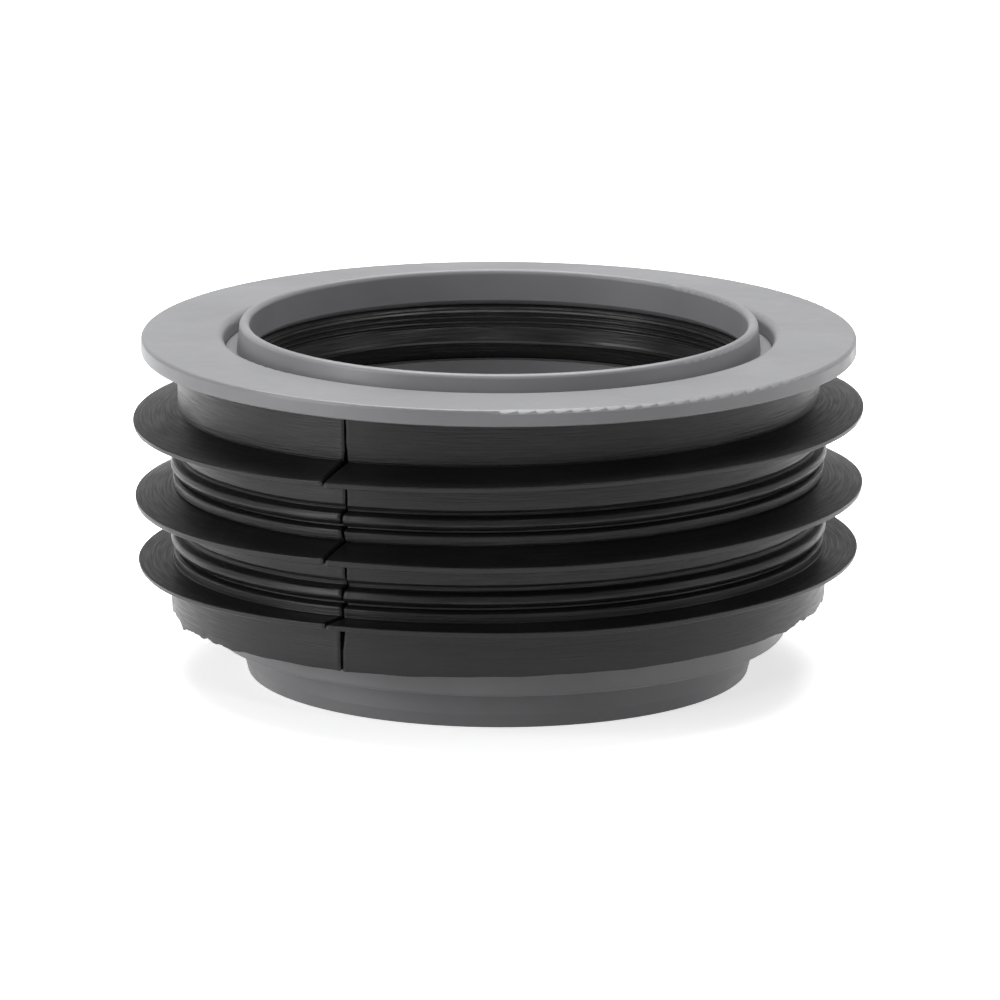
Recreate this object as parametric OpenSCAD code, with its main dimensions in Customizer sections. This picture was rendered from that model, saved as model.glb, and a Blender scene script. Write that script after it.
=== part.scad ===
// Short push-in pipe reducer. It plugs into the end of a 110 mm pipe and takes a 75 mm pipe.
// Every part is turned about the Z axis. The spigot end stands on z = 0 and the mouth faces up.

/* [Pipe] */
// Outside diameter of the small pipe
pipe_d = 75; // [50:1:100]
// Gap all round between the small pipe and the tube that guides it
pipe_gap = 0.3; // [0.15:0.05:0.8]
// Wall of the guide tube, which ends in the spigot
tube_wall = 1.5; // [1:0.1:2.5]
// How far the stop ring reaches in under the pipe's end
stop_reach = 1.9; // [1:0.1:4]
// Thickness of the stop ring
stop_t = 2; // [1.2:0.1:4]

/* [Heights] */
// How far the spigot stands out below the sleeve
spigot_out = 6.2; // [4:0.1:15]
// Height of the spigot's tapered end
spigot_taper_h = 2; // [0.5:0.1:3.5]
// How far the tapered end draws in
spigot_taper_in = 0.5; // [0.1:0.05:0.8]
// Height of the sleeve below the flange
sleeve_h = 43.7; // [42:0.1:60]
// Thickness of the web that joins the sleeve and the tube
web_t = 2.2; // [1.2:0.1:4]

/* [Sleeve and flange] */
// Wall of the sleeve that carries the outer rubber
sleeve_wall = 2.3; // [1.5:0.1:4]
// Thickness of the flange
flange_t = 2.6; // [2:0.1:5]
// How far the flange stands out past the rubber's neck
flange_over = 5.7; // [3:0.1:12]
// Rounding of the flange's top edge
flange_round = 0.6; // [0.2:0.1:0.9]
// Rounding of the edge where the flange turns down into the chamber
mouth_round = 1.2; // [0.4:0.1:1.6]
// Rounding of the sleeve's lower rim
rim_round = 0.5; // [0.2:0.1:0.6]
// How far the rib that holds the rubber up stands out from the sleeve
rib_out = 1.1; // [0.5:0.1:2]
// Height of that rib
rib_h = 1.4; // [0.8:0.1:3]
// Rounding inside the moulded corners
fillet_r = 0.8; // [0.3:0.1:1]

/* [Retaining ring] */
// Gap all round between the small pipe and the collar
collar_gap = 0.8; // [0.6:0.05:1.2]
// Wall of the collar at its rim
collar_wall = 1.6; // [1.2:0.1:1.8]
// How much thicker the collar is at its foot
collar_draft = 0.4; // [0:0.1:0.6]
// How far the collar stands out above the flange
collar_rise = 2; // [0.5:0.1:8]
// Depth of the foot's top below the flange's top
foot_depth = 2.5; // [2:0.1:6]
// Thickness of the foot
foot_t = 1.2; // [1.1:0.1:2.5]
// Chamfer under the foot, round the bore
foot_chamfer = 0.8; // [0.3:0.1:1]
// Size of the snap bead round the foot
snap_r = 0.3; // [0.15:0.05:0.45]
// Gap between the ring and the body, all round
ring_gap = 0.05; // [0.03:0.01:0.15]

/* [Pipe seal] */
// Width of the seal from the guide tube's wall out to the chamber's wall
seal_w = 4.45; // [4:0.05:8]
// Height of the seal
seal_h = 8.85; // [8.4:0.05:14]
// Thickness of the seal's outer band
seal_band = 2.9; // [2:0.1:3.2]
// Height of the ridged land at the seal's top
land_h = 3.3; // [3:0.1:5]
// Gap between the small pipe and the ridged land
land_gap = 0.7; // [0.4:0.05:1]
// How far the free lip stands in past the small pipe's surface
lip_bite = 0.6; // [0.3:0.05:1]
// Thickness of the free lip
seal_lip_t = 1.2; // [0.8:0.1:1.6]
// Height of the lip's sealing edge
seal_edge_h = 1; // [0.6:0.1:1.4]
// Depth of the lip's edge below the seal's top
seal_edge_z = 5.8; // [5.4:0.1:7]
// Number of fine ridges on the land
ridge_n = 3; // [2:1:4]
// Radius of one ridge
ridge_r = 0.3; // [0.15:0.05:0.35]

/* [Lip sleeve] */
// Thickness of the rubber wall between the lips
rubber_wall = 4.7; // [3:0.1:7]
// How far each lip stands out from the wall, from the flange down
lip_reach = [6.95, 6.85, 6.25]; // [4:0.05:9]
// Depth of each lip's root below the flange
lip_root_z = [7.6, 19.7, 31.45]; // [5:0.05:40]
// How far each lip droops from its root to its edge
lip_droop = [1.75, 1.7, 0]; // [0:0.05:3]
// Thickness of a lip at its edge
lip_edge_t = 0.9; // [0.7:0.1:1.6]
// Thickness of a lip at its root
lip_root_t = 2.4; // [1.8:0.1:3]
// Height of the bead above a lip
bead_h = 2; // [1.2:0.1:2.6]
// How far the bead stands out from the wall
bead_out = 1.3; // [0.5:0.1:1.5]
// Height of the low band between the bead and the lip below it
low_band_h = 1.7; // [1:0.1:2]
// How far the low band stands out from the wall
low_band_out = 0.7; // [0.3:0.1:1]
// Width of the groove between bands
groove_w = 0.45; // [0.3:0.05:0.6]
// How far the skirt stands out from the wall
skirt_out = 1.3; // [0.5:0.1:2]
// Thickness of the skirt
skirt_t = 1.6; // [1:0.1:2.2]
// Depth of the skirt's lower edge below the flange
skirt_z = 39.6; // [38.5:0.1:41]
// Gap between the rubber and the sleeve
rubber_gap = 0.05; // [0.03:0.01:0.15]
// Direction of the butt joint, in degrees round from +X
seam_angle = 242.4; // [180:0.1:360]
// Width of the notch along the butt joint
seam_w = 0.45; // [0.3:0.05:0.8]
// Depth of the notch along the butt joint
seam_depth = 0.7; // [0.3:0.1:1]
// Depth of the deepest nick in the skirt's ragged edge
nick_depth = 1.4; // [0.5:0.1:2]

/* [Hidden] */
$fn = 128;

// Overlap that makes neighbouring shapes of one moulding run into each other
join = 0.2;
// Small excess that lets a cut pass right through
over = 0.5;

// Radii, from the small pipe outwards
pipe_r = pipe_d / 2;
tube_r = pipe_r + pipe_gap;
spigot_r = tube_r + tube_wall;
stop_r = pipe_r - stop_reach;
chamber_r = tube_r + seal_w;
sleeve_r = chamber_r + sleeve_wall;
rubber_in_r = sleeve_r + rubber_gap;
wall_r = rubber_in_r + rubber_wall;
flange_r = wall_r + flange_over;
collar_in_r = pipe_r + collar_gap;
collar_rim_r = collar_in_r + collar_wall;
collar_foot_r = collar_rim_r + collar_draft;
foot_r = chamber_r - ring_gap;
land_r = pipe_r + land_gap;
seal_lip_r = pipe_r - lip_bite;
seal_out_r = chamber_r - ring_gap;

// Levels, from the spigot's end upwards
sleeve_z = spigot_out;
flange_z = sleeve_z + sleeve_h;
top_z = flange_z + flange_t;
rim_z = top_z + collar_rise;
foot_top_z = top_z - foot_depth;
foot_z = foot_top_z - foot_t;
seat_z = foot_z - seal_h;
web_z = seat_z - web_t;
base_z = flange_z - lip_root_z[2] - lip_root_t - 1.6;
skirt_low_z = flange_z - skirt_z;

// Nicks along the skirt's edge: direction in degrees round from +X, width in mm, share of nick_depth
NICKS = [
    [181, 4, 0.7], [188, 6, 0.45], [196, 7, 1], [202, 3, 0.8], [210, 5, 0.35], [219, 6, 0.25],
    [321, 6, 0.3], [331, 5, 0.5], [337, 4, 0.9], [344, 6, 0.6], [352, 5, 1], [359, 4, 0.4]
];

// Ring with a rectangular section, between two radii and two levels
module band(r0, r1, z0, z1) {
    translate([r0, z0]) square([r1 - r0, z1 - z0]);
}

// Cutter that rounds an outside corner of a section. sx and sz point from the corner into the section
module round_corner(r, z, round_r, sx, sz) {
    translate([r, z]) scale([sx, sz]) difference() {
        translate([-over, -over]) square(round_r + over);
        translate([round_r, round_r]) circle(round_r);
    }
}

// Moulded fillet that fills an inside corner of a section. sx and sz point from the corner into the air
module fill_corner(r, z, round_r, sx, sz) {
    translate([r, z]) scale([sx, sz]) difference() {
        translate([-join, -join]) square(round_r + join);
        translate([round_r, round_r]) circle(round_r);
    }
}

// The one-piece moulding: flange, sleeve, web, guide tube, spigot and pipe stop
module reducer_body() {
    color([0.46, 0.46, 0.48]) rotate_extrude() difference() {
        union() {
            band(chamber_r, flange_r, flange_z, top_z);
            band(chamber_r, sleeve_r, sleeve_z, flange_z + join);
            band(tube_r, chamber_r + join, web_z, seat_z);
            band(tube_r, spigot_r, 0, web_z + join);
            band(stop_r, tube_r + join, 0, stop_t);
            rubber_rib();
            fill_corner(chamber_r, web_z, fillet_r, -1, -1);
            fill_corner(spigot_r, web_z, fillet_r, 1, -1);
        }
        round_corner(flange_r, top_z, flange_round, -1, -1);
        round_corner(flange_r, flange_z, flange_round / 2, -1, 1);
        round_corner(chamber_r, top_z, mouth_round, 1, -1);
        round_corner(sleeve_r, sleeve_z, rim_round, -1, 1);
        snap_groove();
        spigot_taper();
    }
}

// Rib round the sleeve, just below the rubber's thick wall
module rubber_rib() {
    top = base_z - rubber_gap;
    polygon([
        [sleeve_r - join, top - rib_h], [sleeve_r, top - rib_h],
        [sleeve_r + rib_out, top - rib_h / 3], [sleeve_r + rib_out, top], [sleeve_r - join, top]
    ]);
}

// Groove in the chamber's wall that the foot's bead snaps into
module snap_groove() {
    translate([foot_r, foot_z + foot_t / 2]) circle(snap_r + ring_gap + ring_gap);
}

// Cut that draws the spigot's end in
module spigot_taper() {
    polygon([
        [spigot_r - spigot_taper_in * (1 + over / spigot_taper_h), -over], [spigot_r + over, -over],
        [spigot_r + over, spigot_taper_h], [spigot_r, spigot_taper_h]
    ]);
}

// Ring that closes the seal's chamber: a drafted collar with a round rim, and a foot with a snap bead
module retaining_ring() {
    rim_r = collar_wall / 2;
    color([0.46, 0.46, 0.47]) rotate_extrude() difference() {
        union() {
            polygon([
                [collar_in_r, foot_z], [collar_foot_r, foot_z], [collar_foot_r, foot_top_z],
                [collar_rim_r, rim_z - rim_r], [collar_in_r, rim_z - rim_r]
            ]);
            translate([collar_in_r + rim_r, rim_z - rim_r]) circle(rim_r);
            band(collar_foot_r - join, foot_r, foot_z, foot_top_z);
            translate([foot_r, foot_z + foot_t / 2]) circle(snap_r);
        }
        polygon([
            [collar_in_r - over, foot_z - over], [collar_in_r + foot_chamfer + over, foot_z - over],
            [collar_in_r - over, foot_z + foot_chamfer + over]
        ]);
        round_corner(foot_r, foot_top_z, 0.2, -1, -1);
    }
}

// Rubber ring in the chamber: an outer band, a ridged land at its top and a free lip below the land
module pipe_seal() {
    seal_top = foot_z - ring_gap;
    seal_low = seat_z + ring_gap;
    band_r = seal_out_r - seal_band;
    land_z = seal_top - land_h;
    edge_z = seal_top - seal_edge_z;
    ridge_pitch = (land_h - 0.8) / ridge_n;
    color([0.12, 0.12, 0.12]) rotate_extrude() union() {
        band(band_r, seal_out_r, seal_low, seal_top);
        band(land_r, band_r + join, land_z, seal_top - 0.4);
        for (i = [0 : ridge_n - 1]) {
            translate([land_r, seal_top - 0.8 - ridge_pitch * (i + 0.3)]) circle(ridge_r);
        }
        polygon([
            [seal_lip_r, edge_z + seal_edge_h / 2], [seal_lip_r, edge_z - seal_edge_h / 2],
            [seal_lip_r + seal_lip_t, edge_z - seal_edge_h / 2], [band_r + join, land_z - seal_lip_t],
            [band_r + join, land_z + join], [land_r, land_z + join]
        ]);
    }
}

// Section of one outer lip, from its root in the wall to its round edge
module lip(i) {
    root_z = flange_z - lip_root_z[i];
    edge_r = lip_edge_t / 2;
    edge_x = wall_r + lip_reach[i] - edge_r;
    edge_z = root_z - lip_droop[i] - edge_r;
    polygon([
        [wall_r - join, root_z - lip_root_t], [wall_r, root_z - lip_root_t],
        [edge_x, edge_z - edge_r], [edge_x, edge_z + edge_r], [wall_r, root_z], [wall_r - join, root_z]
    ]);
    translate([edge_x, edge_z]) circle(edge_r);
}

// Section of the bead and the low band that lie just above a lip's root
module bead_and_band(i) {
    root_z = flange_z - lip_root_z[i];
    bead_low = root_z + low_band_h + groove_w;
    translate([wall_r - join, root_z - join]) square([low_band_out + join, low_band_h + join]);
    intersection() {
        translate([wall_r + bead_out - bead_h / 2, bead_low + bead_h / 2]) circle(bead_h / 2);
        band(wall_r - join, wall_r + bead_out + join, bead_low, bead_low + bead_h);
    }
}

// The outer rubber: a looped strip of one section, with its butt joint and its ragged skirt
module lip_sleeve() {
    color([0.13, 0.12, 0.13]) difference() {
        rotate_extrude() union() {
            band(rubber_in_r, wall_r, base_z, flange_z);
            for (i = [0 : 2]) lip(i);
            for (i = [1 : 2]) bead_and_band(i);
            skirt();
        }
        seam_notch();
        skirt_nicks();
    }
}

// Section of the skirt that hangs from the underside of the last lip
module skirt() {
    root_z = flange_z - lip_root_z[2] - lip_root_t / 2;
    skirt_r = wall_r + skirt_out;
    band(skirt_r - skirt_t, skirt_r, skirt_low_z, root_z);
    band(wall_r - skirt_t, skirt_r - join, base_z, root_z);
}

// Shallow notch where the strip's two ends meet
module seam_notch() {
    rotate([0, 0, seam_angle]) for (ring = [
        [wall_r, flange_z - lip_root_z[0], flange_z + over],
        [wall_r + skirt_out, skirt_low_z - over, flange_z - lip_root_z[2] - lip_root_t]
    ]) {
        translate([ring[0] - seam_depth, -seam_w / 2, ring[1]])
            cube([seam_depth + over, seam_w, ring[2] - ring[1]]);
    }
}

// Nicks torn out of the skirt's lower edge
module skirt_nicks() {
    for (nick = NICKS) {
        rotate([0, 0, nick[0]]) translate([wall_r - over, 0, skirt_low_z]) rotate([0, 90, 0])
            linear_extrude(skirt_out + 2 * over) polygon([
                [0.1, -nick[1] / 2], [0.1, nick[1] / 2],
                [-nick_depth * nick[2] * 0.7, nick[1] / 4], [-nick_depth * nick[2], -nick[1] / 5]
            ]);
    }
}

reducer_body();
retaining_ring();
pipe_seal();
lip_sleeve();
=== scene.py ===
import bpy
import math
import numpy as np
from mathutils import Matrix, Vector
from mathutils.geometry import tessellate_polygon


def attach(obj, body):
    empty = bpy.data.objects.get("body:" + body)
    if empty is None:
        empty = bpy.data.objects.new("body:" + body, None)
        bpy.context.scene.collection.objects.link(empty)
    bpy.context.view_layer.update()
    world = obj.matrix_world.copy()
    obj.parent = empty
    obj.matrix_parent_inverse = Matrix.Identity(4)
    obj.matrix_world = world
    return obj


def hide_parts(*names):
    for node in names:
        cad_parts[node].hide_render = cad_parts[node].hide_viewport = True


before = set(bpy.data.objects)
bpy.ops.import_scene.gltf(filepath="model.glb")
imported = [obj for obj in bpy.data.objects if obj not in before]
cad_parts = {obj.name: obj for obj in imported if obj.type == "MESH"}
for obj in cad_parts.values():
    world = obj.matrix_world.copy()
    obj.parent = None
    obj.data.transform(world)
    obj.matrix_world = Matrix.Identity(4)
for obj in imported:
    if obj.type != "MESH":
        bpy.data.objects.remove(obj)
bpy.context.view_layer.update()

MM = 0.001
FLANGE_TOP = 52.5
SEAM_AZIMUTH = 242.5
SLEEVE_R = 44.55
CHAMBER_R = 42.25
SEAT_Z = 39.95
FOOT_Z = 48.8
FLOOR_R = 1.6
FLOOR_TONE = 0.3
FLOOR_GLOW = 0.62
BACKDROP_TOP = (0.27, 0.44)
ROOM_LEVEL = 0.10
FILL_LEVEL = 0.3


# ---------------------------------------------------------------- shader helpers

def new_material(name):
    material = bpy.data.materials.new(name)
    material.use_nodes = True
    tree = material.node_tree
    tree.nodes.clear()
    out = tree.nodes.new("ShaderNodeOutputMaterial")
    out.location = (600, 0)
    shader = tree.nodes.new("ShaderNodeBsdfPrincipled")
    shader.location = (300, 0)
    tree.links.new(shader.outputs["BSDF"], out.inputs["Surface"])
    return material, tree, shader


def node(tree, kind, **values):
    made = tree.nodes.new(kind)
    for key, value in values.items():
        setattr(made, key, value)
    return made


def group_node(tree, group):
    made = tree.nodes.new("ShaderNodeGroup")
    made.node_tree = group
    return made


def mottle_group():
    """Cloudy value between 0 and 1, for slow changes of tone and gloss over a surface."""
    group = bpy.data.node_groups.new("surface_mottle", "ShaderNodeTree")
    group.interface.new_socket("Vector", in_out="INPUT", socket_type="NodeSocketVector")
    for name, default in (("Scale", 40.0), ("Detail", 4.0), ("Low", 0.35), ("High", 0.65)):
        socket = group.interface.new_socket(name, in_out="INPUT", socket_type="NodeSocketFloat")
        socket.default_value = default
    group.interface.new_socket("Value", in_out="OUTPUT", socket_type="NodeSocketFloat")
    inp = node(group, "NodeGroupInput")
    out = node(group, "NodeGroupOutput")
    noise = node(group, "ShaderNodeTexNoise")
    spread = node(group, "ShaderNodeMapRange")
    link = group.links.new
    link(inp.outputs["Vector"], noise.inputs["Vector"])
    link(inp.outputs["Scale"], noise.inputs["Scale"])
    link(inp.outputs["Detail"], noise.inputs["Detail"])
    link(noise.outputs["Fac"], spread.inputs["Value"])
    link(inp.outputs["Low"], spread.inputs["From Min"])
    link(inp.outputs["High"], spread.inputs["From Max"])
    link(spread.outputs["Result"], out.inputs["Value"])
    return group


# ---------------------------------------------------------------- section helpers

def rounded_section(corners, step_deg=18.0):
    """Points of a closed section. Each corner is (r, z, fillet), all in mm."""
    points = []
    n = len(corners)
    for i, (r, z, fillet) in enumerate(corners):
        here = np.array((r, z))
        back = np.array(corners[i - 1][:2]) - here
        ahead = np.array(corners[(i + 1) % n][:2]) - here
        len_back, len_ahead = np.linalg.norm(back), np.linalg.norm(ahead)
        u, v = back / len_back, ahead / len_ahead
        turn = math.pi - math.acos(max(-1.0, min(1.0, float(u @ v))))
        if fillet <= 0 or turn < 0.02:
            points.append(here)
            continue
        run = min(fillet * math.tan(turn / 2), 0.49 * len_back, 0.49 * len_ahead)
        radius = run / math.tan(turn / 2)
        bisector = (u + v) / np.linalg.norm(u + v)
        centre = here + bisector * math.hypot(run, radius)
        start, end = here + u * run - centre, here + v * run - centre
        steps = max(2, int(math.ceil(math.degrees(turn) / step_deg)))
        a0 = math.atan2(start[1], start[0])
        a1 = math.atan2(end[1], end[0])
        sweep = (a1 - a0 + math.pi) % (2 * math.pi) - math.pi
        for k in range(steps + 1):
            a = a0 + sweep * k / steps
            points.append(centre + radius * np.array((math.cos(a), math.sin(a))))
    return np.array(points)


def split_long(points, longest):
    """Adds points on a closed section wherever two neighbours lie further apart than longest."""
    out = []
    for i, p in enumerate(points):
        q = points[(i + 1) % len(points)]
        pieces = max(1, int(math.ceil(np.linalg.norm(q - p) / longest)))
        out.extend(p + (q - p) * k / pieces for k in range(pieces))
    return np.array(out)


def section_normals(points):
    """Outward normals of a closed section that runs anticlockwise in (r, z)."""
    ahead = np.roll(points, -1, axis=0) - points
    behind = points - np.roll(points, 1, axis=0)
    ahead /= np.linalg.norm(ahead, axis=1, keepdims=True)
    behind /= np.linalg.norm(behind, axis=1, keepdims=True)
    tangent = ahead + behind
    tangent /= np.maximum(np.linalg.norm(tangent, axis=1, keepdims=True), 1e-9)
    return np.stack([tangent[:, 1], -tangent[:, 0]], axis=1)


def mesh_object(name, vertices, faces, material, smooth_deg=38.0, uvs=None):
    mesh = bpy.data.meshes.new(name)
    mesh.from_pydata([tuple(v) for v in vertices], [], faces)
    mesh.materials.append(material)
    if uvs is not None:
        layer = mesh.uv_layers.new(name="along")
        layer.data.foreach_set("uv", np.asarray(uvs, dtype=np.float32).ravel())
    mesh.update()
    mesh.validate()
    obj = bpy.data.objects.new(name, mesh)
    bpy.context.scene.collection.objects.link(obj)
    mesh.shade_smooth()
    mesh.set_sharp_from_angle(angle=math.radians(smooth_deg))
    return obj


def smooth_noise(azimuth, seed, terms):
    """Sum of a few waves round the ring. terms holds (waves round the ring, size in mm)."""
    rng = np.random.default_rng(seed)
    total = np.zeros_like(azimuth)
    for waves, size in terms:
        total += size * np.sin(np.radians(azimuth) * waves + rng.uniform(0, 2 * math.pi))
    return total


# ---------------------------------------------------------------- outer rubber

def lip_corners(root_z, tip_r, tip_z, edge_t, root_t, wall_r):
    """Corners of one lip from its underside's root, round its edge, to its top's root."""
    return [
        (wall_r, root_z - root_t, 0.5),
        (tip_r - 0.15, tip_z - edge_t / 2, 0.22),
        (tip_r, tip_z + edge_t / 2, 0.16),
        (wall_r, root_z, 0.25),
    ]


def sleeve_section():
    """Section of the outer rubber, anticlockwise in (r, z), from the skirt's foot up the outside."""
    wall, skirt = 49.35, 50.6
    corners = [
        (skirt - 1.5, 10.35, 0.2), (skirt - 0.1, 10.3, 0.15), (skirt, 12.0, 0.0),
        (skirt, 17.0, 0.4),
        (55.4, 17.62, 0.22), (55.6, 18.42, 0.16), (50.15, 18.5, 0.2),
        (50.2, 19.9, 0.3), (49.7, 20.15, 0.15), (49.05, 20.3, 0.15), (49.05, 20.75, 0.15),
        (50.1, 20.85, 0.4), (50.65, 21.6, 0.6), (50.3, 22.75, 0.5), (49.3, 22.95, 0.15),
        (49.0, 23.2, 0.15), (49.1, 23.75, 0.2), (wall, 24.2, 0.3),
    ]
    corners += lip_corners(30.25, 56.15, 28.05, 0.95, 2.5, wall)
    corners += [
        (50.2, 30.35, 0.2), (50.25, 31.75, 0.3), (49.75, 32.0, 0.15),
        (49.05, 32.1, 0.15), (49.05, 32.5, 0.15),
        (50.1, 32.6, 0.4), (50.65, 33.4, 0.6), (50.3, 34.45, 0.5), (49.3, 34.6, 0.15),
        (49.0, 34.8, 0.15), (49.1, 35.2, 0.2), (wall, 35.6, 0.3),
    ]
    corners += lip_corners(42.25, 56.3, 40.1, 0.8, 2.5, wall - 0.1)
    corners += [
        (49.45, 42.42, 0.1), (49.42, 49.86, 0.2),
        (SLEEVE_R + 0.06, 49.86, 0.0), (SLEEVE_R + 0.06, 14.62, 0.0), (skirt - 1.65, 14.62, 0.3),
    ]
    # each lip's top runs into the band above it, so drop the doubled root corner
    tidy = []
    for c in corners:
        if tidy and math.hypot(c[0] - tidy[-1][0], c[1] - tidy[-1][1]) < 0.12:
            continue
        tidy.append(c)
    return split_long(rounded_section(tidy), 1.7)


def seam_offsets():
    """Distances in mm from the butt joint at which the first columns of each end stand."""
    return np.array([0.0, 0.06, 0.16, 0.32, 0.55, 0.9, 1.4, 2.0, 2.8, 3.8, 5.0, 6.4, 8.0, 10.0])


def seam_half_gap(section):
    """Half width in mm of the open joint along the section."""
    r, z = section[:, 0], section[:, 1]
    gap = np.full(len(section), 0.13)
    gap += 0.22 * np.exp(-((z - 42.6) / 0.9) ** 2) * (r < 51)
    gap += 0.10 * np.exp(-((z - 31.2) / 1.4) ** 2) * (r < 51)
    gap += 0.26 * np.exp(-((z - 16.2) / 1.5) ** 2) * (r < 51.5)
    gap += 0.05 * ((z < 16) & (r > 49))
    gap += 0.04 * np.sin(z * 2.3)
    return np.clip(gap, 0.07, None)


RAGGED = [
    (178, 0.15), (181, 0.1), (184, 0.3), (187, 0.15), (189.5, 0.9), (191, 0.35), (194, 0.55),
    (196, 0.15), (197.5, -0.55), (199, 0.1), (203, 0.15), (205, 0.3), (207, 0.05), (209, 0.35),
    (211, 0.0), (214, 0.2), (217, -0.1), (221, 0.1), (226, 0.0), (232, 0.06), (240, 0.0),
    (300, 0.0), (312, 0.08), (320, 0.0), (326, 0.25), (329, 0.05), (333, 0.3), (336, 0.75),
    (338, 0.2), (341, 0.5), (344, 0.1), (347, 0.45), (350, 0.9), (352, 0.3), (355, 0.5), (358, 0.1),
]


def skirt_rise(azimuth):
    """How far the skirt's torn edge stands above its plain level, in mm."""
    table = np.array(RAGGED, float)
    base = np.interp(azimuth, table[:, 0], table[:, 1], period=360)
    worn = np.clip(1 - np.abs((azimuth - 200 + 180) % 360 - 180) / 32, 0, 1)
    worn += np.clip(1 - np.abs((azimuth - 343 + 180) % 360 - 180) / 30, 0, 1)
    fine = smooth_noise(azimuth, 5, [(61, 0.05), (97, 0.06), (143, 0.05), (211, 0.04)])
    return base + worn * fine + smooth_noise(azimuth, 9, [(7, 0.05), (19, 0.04), (37, 0.03)])


def build_lip_sleeve(material):
    section = sleeve_section()
    normals = section_normals(section)
    count = len(section)
    ends = seam_offsets()
    body_cols = np.linspace(ends[-1], 2 * math.pi * 50 - ends[-1], 430)[1:-1]
    arc = np.concatenate([ends, body_cols, 2 * math.pi * 50 - ends[::-1]])
    half_gap = seam_half_gap(section)
    near_start = np.clip(1 - arc / 10, 0, 1)
    near_end = np.clip(1 - (2 * math.pi * 50 - arc) / 10, 0, 1)
    shift = half_gap[None, :] * (near_start[:, None] ** 1.5 - near_end[:, None] ** 1.5)
    wander = 0.10 * np.sin(section[:, 1] * 0.9) + 0.06 * np.sin(section[:, 1] * 2.7 + 1.0)
    shift += wander[None, :] * (near_start + near_end)[:, None]
    azimuth = SEAM_AZIMUTH + np.degrees((arc[:, None] + shift) / 50)
    turn = np.radians(azimuth)
    r = np.repeat(section[None, :, 0], len(arc), axis=0)
    z = np.repeat(section[None, :, 1], len(arc), axis=0)
    # cut edges at the joint are slightly rolled over
    to_end = np.minimum(arc, 2 * math.pi * 50 - arc)
    roll = 0.14 * np.exp(-(to_end / 0.12) ** 2) - 0.05 * np.exp(-((to_end - 0.5) / 0.35) ** 2)
    outside = section[:, 0] > SLEEVE_R + 1.5
    r -= roll[:, None] * normals[None, :, 0] * outside
    z -= roll[:, None] * normals[None, :, 1] * outside
    # the two ends don't line up quite
    z += 0.16 * near_end[:, None] ** 2 * (section[:, 1] > 15)
    z -= 0.10 * near_start[:, None] ** 2 * (section[:, 1] < 48)
    r += 0.10 * near_end[:, None] ** 2 * outside
    # lips wave a little
    reach = np.clip((section[:, 0] - 50.8) / 5, 0, 1)
    for low, high, seed in ((38.5, 42.0, 1), (26.5, 30.0, 2), (16.8, 19.0, 3)):
        held = reach * ((section[:, 1] > low) & (section[:, 1] < high))
        z += smooth_noise(azimuth, seed, [(2, 0.08), (3, 0.10), (5, 0.07), (9, 0.03)]) * held
        r += smooth_noise(azimuth, seed + 20, [(3, 0.05), (7, 0.03)]) * held
    # walls aren't drawn dead true either
    r += smooth_noise(azimuth, 31, [(4, 0.04), (9, 0.02)]) * outside
    # the torn lower edge
    foot = np.clip((12.0 - section[:, 1]) / 1.7, 0, 1)
    z += skirt_rise(azimuth) * foot
    # the rubber sits askew on the sleeve, as in the photo
    top_hold = np.clip((FLANGE_TOP - 2.7 - z) / 6.0, 0, 1)
    low_hold = 1.0
    lean = 1.1 * (r / 56) * np.cos(turn) - 0.5 * (r / 56) * np.sin(turn)
    z += lean * np.where(outside, 1.0, 0.0) * top_hold * low_hold
    x, y = r * np.cos(turn), r * np.sin(turn)
    vertices = np.stack([x, y, z], axis=-1).reshape(-1, 3) * MM
    cols = len(arc)
    along = np.concatenate([[0], np.cumsum(np.linalg.norm(np.diff(section, axis=0), axis=1))])
    faces, uvs = [], []
    total = along[-1] + np.linalg.norm(section[0] - section[-1])
    for i in range(cols - 1):
        for k in range(count):
            kn = (k + 1) % count
            faces.append((i * count + k, (i + 1) * count + k, (i + 1) * count + kn, i * count + kn))
            v0, v1 = along[k], (along[kn] if kn else total)
            u0, u1 = arc[i], arc[i + 1]
            uvs.extend([(u0, v0), (u1, v0), (u1, v1), (u0, v1)])
    for col, flip in ((0, True), (cols - 1, False)):
        loop = [Vector((r[col, k], z[col, k], 0)) for k in range(count)]
        for tri in tessellate_polygon([loop]):
            a, b, c = tri
            area = (loop[b] - loop[a]).cross(loop[c] - loop[a]).z
            if area < 0:
                b, c = c, b
            corners = (a, b, c) if flip else (a, c, b)
            faces.append(tuple(col * count + q for q in corners))
            uvs.extend([(arc[col], along[q]) for q in corners])
    return mesh_object("lip_sleeve_rubber", vertices, faces, material, 42.0, np.array(uvs) * 0.02)


# ---------------------------------------------------------------- inner seal

def seal_section():
    top = FOOT_Z - 0.05
    corners = [
        (39.3, SEAT_Z + 0.02, 0.3), (42.2, SEAT_Z + 0.02, 0.2), (42.2, top, 0.2), (38.75, top, 0.15),
        (38.2, top - 0.55, 0.2),
    ]
    for depth in (1.05, 1.85, 2.7):
        corners += [
            (38.3, top - depth + 0.33, 0.12), (37.9, top - depth, 0.12), (38.3, top - depth - 0.33, 0.12),
        ]
    corners += [
        (38.25, top - 3.3, 0.15), (38.0, top - 3.45, 0.3),
        (37.0, top - 4.95, 0.4), (36.85, top - 5.35, 0.2), (37.05, top - 5.8, 0.2),
        (37.6, top - 5.9, 0.2), (38.6, top - 4.9, 0.4), (39.3, top - 4.4, 0.3),
    ]
    return split_long(rounded_section(corners[::1]), 1.5)


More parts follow.
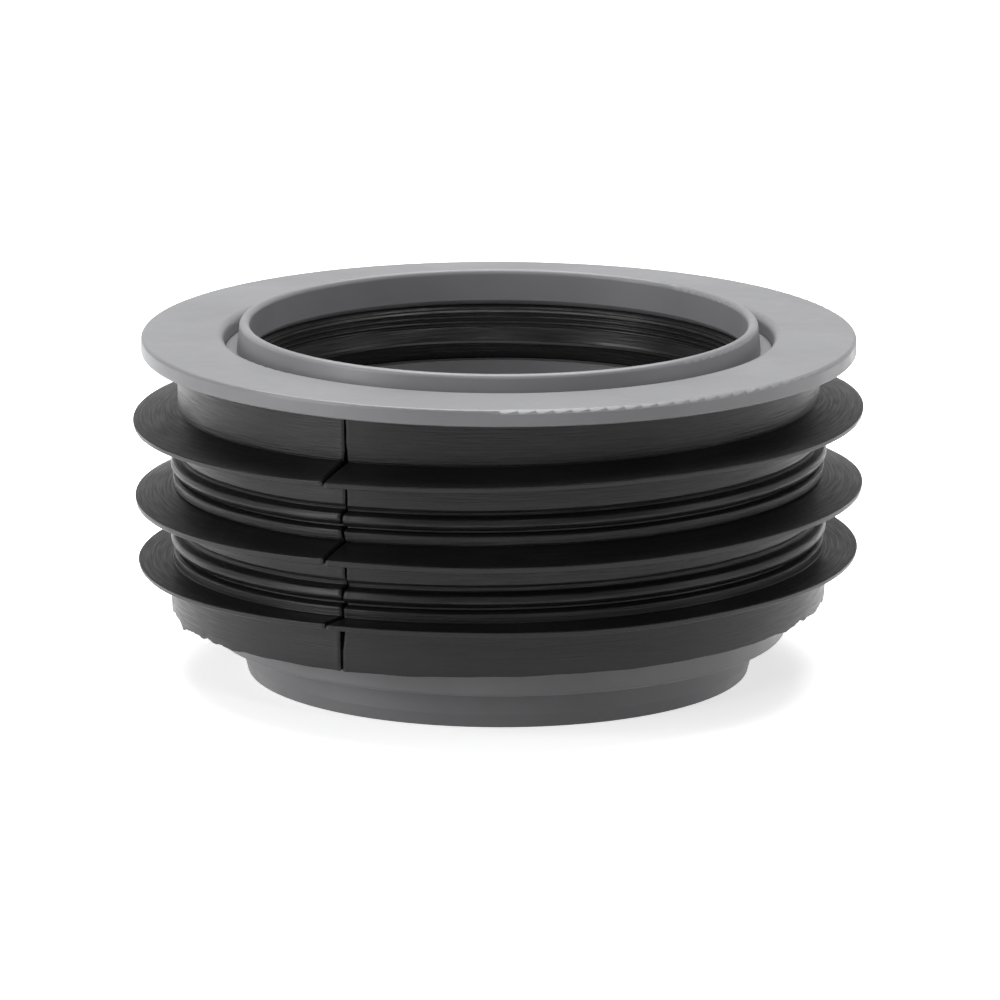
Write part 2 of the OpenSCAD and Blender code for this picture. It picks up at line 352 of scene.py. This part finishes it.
def build_pipe_seal(material):
    section = seal_section()
    area = 0.5 * np.sum(section[:, 0] * np.roll(section[:, 1], -1) - np.roll(section[:, 0], -1) * section[:, 1])
    if area < 0:
        section = section[::-1]
    count, cols = len(section), 288
    azimuth = np.arange(cols) * 360.0 / cols
    turn = np.radians(azimuth)[:, None]
    r = np.repeat(section[None, :, 0], cols, axis=0)
    z = np.repeat(section[None, :, 1], cols, axis=0)
    free = np.clip((FOOT_Z - 3.3 - section[:, 1]) / 2, 0, 1) * (section[:, 0] < 38.9)
    z += smooth_noise(azimuth, 44, [(2, 0.08), (3, 0.07), (6, 0.04)])[:, None] * free
    r += smooth_noise(azimuth, 45, [(3, 0.05), (5, 0.04)])[:, None] * free
    vertices = np.stack([r * np.cos(turn), r * np.sin(turn), z], axis=-1).reshape(-1, 3) * MM
    along = np.concatenate([[0], np.cumsum(np.linalg.norm(np.diff(section, axis=0), axis=1))])
    total = along[-1] + np.linalg.norm(section[0] - section[-1])
    arc = np.arange(cols + 1) * 2 * math.pi * 38 / cols
    faces, uvs = [], []
    for i in range(cols):
        j = (i + 1) % cols
        for k in range(count):
            kn = (k + 1) % count
            faces.append((i * count + k, j * count + k, j * count + kn, i * count + kn))
            v0, v1 = along[k], (along[kn] if kn else total)
            uvs.extend([(arc[i], v0), (arc[i + 1], v0), (arc[i + 1], v1), (arc[i], v1)])
    return mesh_object("pipe_seal_rubber", vertices, faces, material, 50.0, np.array(uvs) * 0.02)


# ---------------------------------------------------------------- materials

def grey_plastic(mottle):
    material, tree, shader = new_material("grey_moulded_plastic")
    link = tree.links.new
    coord = node(tree, "ShaderNodeTexCoord")
    tone = group_node(tree, mottle)
    tone.inputs["Scale"].default_value = 55.0
    link(coord.outputs["Object"], tone.inputs["Vector"])
    colour = node(tree, "ShaderNodeMix", data_type="RGBA")
    colour.inputs["A"].default_value = (0.185, 0.185, 0.192, 1)
    colour.inputs["B"].default_value = (0.205, 0.205, 0.213, 1)
    link(tone.outputs["Value"], colour.inputs["Factor"])
    link(colour.outputs["Result"], shader.inputs["Base Color"])
    gloss = group_node(tree, mottle)
    gloss.inputs["Scale"].default_value = 130.0
    link(coord.outputs["Object"], gloss.inputs["Vector"])
    rough = node(tree, "ShaderNodeMapRange")
    rough.inputs["To Min"].default_value = 0.36
    rough.inputs["To Max"].default_value = 0.46
    link(gloss.outputs["Value"], rough.inputs["Value"])
    link(rough.outputs["Result"], shader.inputs["Roughness"])
    grain = node(tree, "ShaderNodeTexNoise")
    grain.inputs["Scale"].default_value = 2600.0
    grain.inputs["Detail"].default_value = 2.0
    link(coord.outputs["Object"], grain.inputs["Vector"])
    bump = node(tree, "ShaderNodeBump")
    bump.inputs["Strength"].default_value = 0.12
    bump.inputs["Distance"].default_value = 0.00004
    link(grain.outputs["Fac"], bump.inputs["Height"])
    link(bump.outputs["Normal"], shader.inputs["Normal"])
    shader.inputs["Specular IOR Level"].default_value = 0.45
    return material


def black_rubber(mottle, name, base, spec, rough_low, rough_high):
    material, tree, shader = new_material(name)
    link = tree.links.new
    uv = node(tree, "ShaderNodeUVMap", uv_map="along")
    coord = node(tree, "ShaderNodeTexCoord")
    stretch = node(tree, "ShaderNodeMapping")
    stretch.inputs["Scale"].default_value = (1.2, 26.0, 1.0)
    link(uv.outputs["UV"], stretch.inputs["Vector"])
    streak = group_node(tree, mottle)
    streak.inputs["Scale"].default_value = 6.0
    streak.inputs["Detail"].default_value = 3.0
    link(stretch.outputs["Vector"], streak.inputs["Vector"])
    cloud = group_node(tree, mottle)
    cloud.inputs["Scale"].default_value = 60.0
    link(coord.outputs["Object"], cloud.inputs["Vector"])
    blend = node(tree, "ShaderNodeMath", operation="MULTIPLY")
    link(streak.outputs["Value"], blend.inputs[0])
    link(cloud.outputs["Value"], blend.inputs[1])
    colour = node(tree, "ShaderNodeMix", data_type="RGBA")
    colour.inputs["A"].default_value = (base * 1.06, base * 0.96, base * 0.97, 1)
    colour.inputs["B"].default_value = (base * 1.7, base * 1.55, base * 1.6, 1)
    link(blend.outputs["Value"], colour.inputs["Factor"])
    link(colour.outputs["Result"], shader.inputs["Base Color"])
    rough = node(tree, "ShaderNodeMapRange")
    rough.inputs["To Min"].default_value = rough_low
    rough.inputs["To Max"].default_value = rough_high
    link(streak.outputs["Value"], rough.inputs["Value"])
    link(rough.outputs["Result"], shader.inputs["Roughness"])
    bump = node(tree, "ShaderNodeBump")
    bump.inputs["Strength"].default_value = 0.25
    bump.inputs["Distance"].default_value = 0.00008
    link(streak.outputs["Value"], bump.inputs["Height"])
    link(bump.outputs["Normal"], shader.inputs["Normal"])
    shader.inputs["Specular IOR Level"].default_value = spec
    return material


# ---------------------------------------------------------------- studio

def seen_directly(tree):
    """1 for a ray from the camera, off a gloss or through a clear part, and 0 for scattered light."""
    path = node(tree, "ShaderNodeLightPath")
    direct = node(tree, "ShaderNodeMath", operation="MAXIMUM")
    either = node(tree, "ShaderNodeMath", operation="MAXIMUM")
    tree.links.new(path.outputs["Is Camera Ray"], direct.inputs[0])
    tree.links.new(path.outputs["Is Glossy Ray"], direct.inputs[1])
    tree.links.new(direct.outputs["Value"], either.inputs[0])
    tree.links.new(path.outputs["Is Transmission Ray"], either.inputs[1])
    return either.outputs["Value"]


def build_floor():
    material, tree, shader = new_material("studio_floor")
    link = tree.links.new
    direct = seen_directly(tree)
    tone = node(tree, "ShaderNodeMix", data_type="RGBA")
    tone.inputs["A"].default_value = (FLOOR_TONE, FLOOR_TONE, FLOOR_TONE, 1)
    tone.inputs["B"].default_value = (0.9, 0.9, 0.9, 1)
    link(direct, tone.inputs["Factor"])
    link(tone.outputs["Result"], shader.inputs["Base Color"])
    glow = node(tree, "ShaderNodeMath", operation="MULTIPLY")
    glow.inputs[1].default_value = FLOOR_GLOW
    link(direct, glow.inputs[0])
    link(glow.outputs["Value"], shader.inputs["Emission Strength"])
    shader.inputs["Emission Color"].default_value = (1, 1, 1, 1)
    shader.inputs["Roughness"].default_value = 0.9
    shader.inputs["Specular IOR Level"].default_value = 0.0
    corners = 96
    rim = []
    for i in range(corners):
        turn = 2 * math.pi * i / corners
        rim.append((FLOOR_R * math.cos(turn), FLOOR_R * math.sin(turn), -0.00005))
    floor = mesh_object("studio_floor", rim, [tuple(range(corners))], material)
    return floor


def build_world():
    """A white backdrop low down all round, and a dim room above it."""
    world = bpy.data.worlds.new("studio_world")
    bpy.context.scene.world = world
    world.use_nodes = True
    tree = world.node_tree
    tree.nodes.clear()
    link = tree.links.new
    coord = node(tree, "ShaderNodeTexCoord")
    parts = node(tree, "ShaderNodeSeparateXYZ")
    link(coord.outputs["Generated"], parts.inputs["Vector"])
    backdrop = node(tree, "ShaderNodeMapRange", interpolation_type="SMOOTHSTEP")
    backdrop.inputs["From Min"].default_value = BACKDROP_TOP[0]
    backdrop.inputs["From Max"].default_value = BACKDROP_TOP[1]
    backdrop.inputs["To Min"].default_value = 1.0
    backdrop.inputs["To Max"].default_value = ROOM_LEVEL
    link(parts.outputs["Z"], backdrop.inputs["Value"])
    level = node(tree, "ShaderNodeMix", data_type="FLOAT")
    link(seen_directly(tree), level.inputs["Factor"])
    level.inputs["A"].default_value = FILL_LEVEL
    link(backdrop.outputs["Result"], level.inputs["B"])
    back = node(tree, "ShaderNodeBackground")
    out = node(tree, "ShaderNodeOutputWorld")
    link(level.outputs["Result"], back.inputs["Strength"])
    link(back.outputs["Background"], out.inputs["Surface"])


def area_light(name, azimuth, elevation, distance, size, power, target=(0, 0, 0.03)):
    """azimuth is counted from -Y (towards the camera) to +X, in degrees."""
    data = bpy.data.lights.new(name, "AREA")
    data.shape = "RECTANGLE"
    data.size, data.size_y = size
    data.energy = power
    lamp = bpy.data.objects.new(name, data)
    bpy.context.scene.collection.objects.link(lamp)
    a, e = math.radians(azimuth), math.radians(elevation)
    away = Vector((math.sin(a) * math.cos(e), -math.cos(a) * math.cos(e), math.sin(e)))
    lamp.location = Vector(target) + away * distance
    lamp.rotation_euler = away.to_track_quat("Z", "Y").to_euler()
    return lamp


def build_lights():
    area_light("overhead_softbox", 180, 74, 0.9, (1.0, 0.8), 16.0)
    area_light("left_softbox", -64, 14, 0.9, (0.28, 0.7), 5.0)
    area_light("right_softbox", 76, 20, 1.0, (0.3, 0.6), 1.6)
    area_light("front_spot", 3, 38, 1.0, (0.12, 0.12), 0.8)


def build_camera():
    camera_data = bpy.data.cameras.new("camera")
    camera_data.sensor_width = 36.0
    camera_data.lens = 288.0
    camera_data.clip_start, camera_data.clip_end = 0.05, 20.0
    camera = bpy.data.objects.new("camera", camera_data)
    bpy.context.scene.collection.objects.link(camera)
    elevation, pitch = math.radians(12.05), math.radians(13.25)
    roll, yaw = math.radians(0.148), math.radians(0.012)
    away = 22.44 * 55 * MM * (356.9 / 358.0)
    camera.location = (0, -away * math.cos(elevation), FLANGE_TOP * MM + away * math.sin(elevation))
    forward = Vector((math.sin(yaw) * math.cos(pitch), math.cos(yaw) * math.cos(pitch), -math.sin(pitch)))
    right = Vector((math.cos(yaw), -math.sin(yaw), 0))
    up = right.cross(forward)
    side = right * math.cos(roll) + up * math.sin(roll)
    top = -right * math.sin(roll) + up * math.cos(roll)
    camera.matrix_world = Matrix((
        (side.x, top.x, -forward.x, camera.location.x),
        (side.y, top.y, -forward.y, camera.location.y),
        (side.z, top.z, -forward.z, camera.location.z),
        (0, 0, 0, 1),
    ))
    bpy.context.scene.camera = camera


# ---------------------------------------------------------------- assembly

bpy.context.scene.view_settings.view_transform = "Standard"

mottle = mottle_group()
plastic = grey_plastic(mottle)
sleeve_rubber = black_rubber(mottle, "lip_sleeve_rubber_black", 0.0065, 0.25, 0.34, 0.46)
seal_rubber = black_rubber(mottle, "pipe_seal_rubber_black", 0.0075, 0.35, 0.28, 0.40)

for name in ("reducer_body", "retaining_ring"):
    part = bpy.data.objects[name]
    part.data.materials.clear()
    part.data.materials.append(plastic)

outer = build_lip_sleeve(sleeve_rubber)
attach(outer, "root")
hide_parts("lip_sleeve")

inner = build_pipe_seal(seal_rubber)
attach(inner, "root")
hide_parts("pipe_seal")

build_floor()
build_world()
build_lights()
build_camera()
